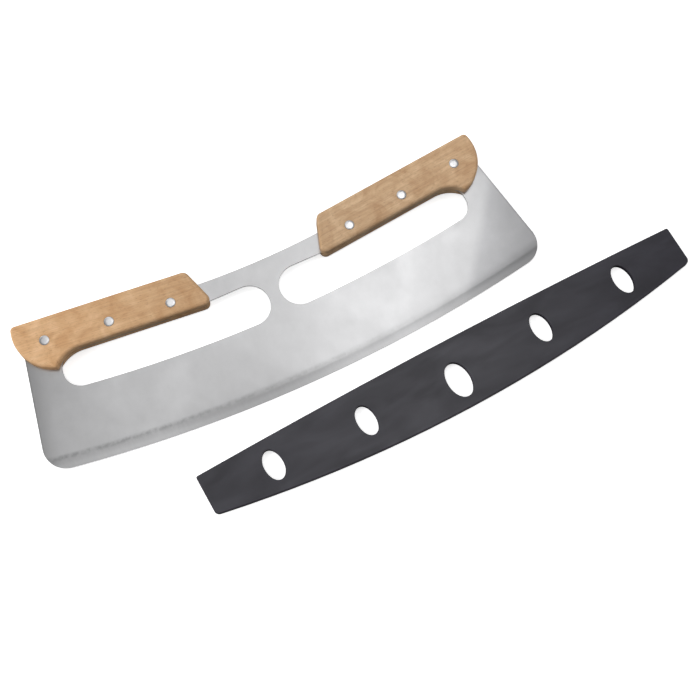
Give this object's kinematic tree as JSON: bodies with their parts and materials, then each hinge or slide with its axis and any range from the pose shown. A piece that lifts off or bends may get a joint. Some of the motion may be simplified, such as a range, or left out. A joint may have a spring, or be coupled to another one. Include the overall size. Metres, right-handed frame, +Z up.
{
  "type": "mezzaluna",
  "caption": "Rocking chopping knife: a wide curved blade with riveted wooden handle scales at each end, hand slots below them, and its flat windowed edge guard lying beside it.",
  "frame": {"origin": "on the table, at the middle of the footprint of the knife and its guard", "axes": "+X along the knife and its cutting edge, +Y from the cutting edge to the handles, +Z up from the table"},
  "size_m": [0.4337, 0.1729, 0.017],
  "materials": {
    "blade_steel": "satin, lightly clouded",
    "handle_wood": "plain, fine straight grain",
    "rivet_metal": "bright, domed",
    "guard_plastic": "matt charcoal"
  },
  "bodies": {
    "knife": {"blade": "blade_steel", "left_front_scale": "handle_wood", "left_back_scale": "handle_wood", "right_front_scale": "handle_wood", "right_back_scale": "handle_wood", "left_inner_rivet_stud": "rivet_metal", "left_inner_rivet_socket": "rivet_metal", "left_middle_rivet_stud": "rivet_metal", "left_middle_rivet_socket": "rivet_metal", "left_outer_rivet_stud": "rivet_metal", "left_outer_rivet_socket": "rivet_metal", "right_inner_rivet_stud": "rivet_metal", "right_inner_rivet_socket": "rivet_metal", "right_middle_rivet_stud": "rivet_metal", "right_middle_rivet_socket": "rivet_metal", "right_outer_rivet_stud": "rivet_metal", "right_outer_rivet_socket": "rivet_metal"},
    "guard": {"blade_guard": "guard_plastic"}
  },
  "joints": [
    {"name": "guard_lift", "type": "slide", "parent": "knife", "child": "guard", "axis": [0, 0, 1], "range_m": [0, 0.06]}
  ]
}
